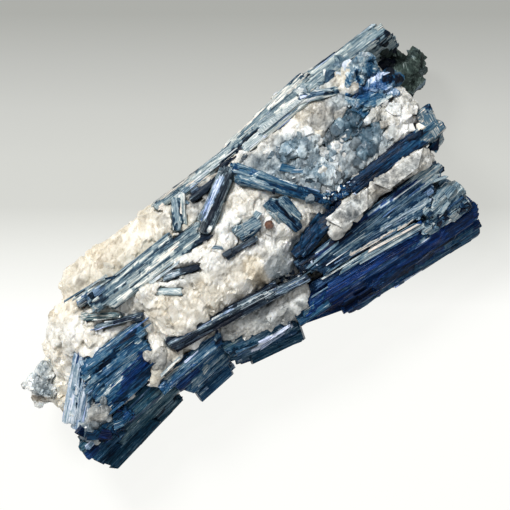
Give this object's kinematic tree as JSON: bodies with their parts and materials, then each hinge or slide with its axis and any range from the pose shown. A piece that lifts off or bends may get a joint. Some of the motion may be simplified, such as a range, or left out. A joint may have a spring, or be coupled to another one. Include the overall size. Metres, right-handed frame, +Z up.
{
  "type": "kyanite blade cluster",
  "caption": "Mineral specimen: sheaves of striated blue kyanite blades grown through milky quartz, lying on its flat back.",
  "frame": {"origin": "on the surface the specimen rests on, under the centre of its bounding box", "axes": "+X along the specimen's length, towards the end with the navy blades; +Y towards the quartz-rich long edge; +Z up, out of its best face"},
  "size_m": [0.1311, 0.0601, 0.0363],
  "materials": {
    "milky_quartz": "granular, glassy to greasy break, milky and slightly translucent",
    "kyanite_navy": "striated blade faces, glassy to pearly",
    "kyanite_blue": "striated blade faces, glassy to pearly",
    "kyanite_grey_blue": "striated blade faces, pearly",
    "kyanite_teal": "striated blade faces, glassy",
    "kyanite_dark": "striated blade faces, glassy",
    "kyanite_smoky_green": "dull broken blade ends with an olive cast",
    "brown_garnet": "small glassy grain"
  },
  "bodies": {
    "root": {"arched_blade": "kyanite_dark", "back_base_sheaf": "kyanite_grey_blue", "band_blade": "kyanite_navy", "bottom_blade": "kyanite_teal", "branch_blade": "kyanite_dark", "corner_chip": "kyanite_grey_blue", "cross_blade": "kyanite_blue", "dark_needle": "kyanite_dark", "dark_strip_blade": "kyanite_dark", "end_back_cluster": "kyanite_smoky_green", "fan_blades": "kyanite_grey_blue", "front_base_sheaf": "kyanite_teal", "garnet_grain": "brown_garnet", "granular_blue_patch": "kyanite_grey_blue", "green_blade": "kyanite_smoky_green", "knob_blade": "kyanite_navy", "left_base_sheaf": "kyanite_blue", "left_blue_sheaf": "kyanite_navy", "left_middle_sheaf": "kyanite_blue", "left_nub": "kyanite_navy", "left_silver_sheaf": "kyanite_grey_blue", "left_under_blade": "kyanite_teal", "lilac_blade": "kyanite_grey_blue", "long_dark_blade": "kyanite_dark", "pale_blade": "kyanite_grey_blue", "quartz_matrix": "milky_quartz", "ridge_sheaf": "kyanite_grey_blue", "right_base_sheaf": "kyanite_navy", "right_end_stub": "kyanite_grey_blue", "right_lower_blade": "kyanite_navy", "right_upper_sheaf": "kyanite_grey_blue", "royal_blade": "kyanite_blue", "stub_crystal": "kyanite_teal", "teal_lump": "kyanite_teal", "thin_dark_blade": "kyanite_dark", "twin_stub_crystals": "kyanite_teal", "upper_left_sheaf": "kyanite_navy", "upper_light_blade": "kyanite_grey_blue", "wedge_blade": "kyanite_blue"}
  },
  "joints": []
}
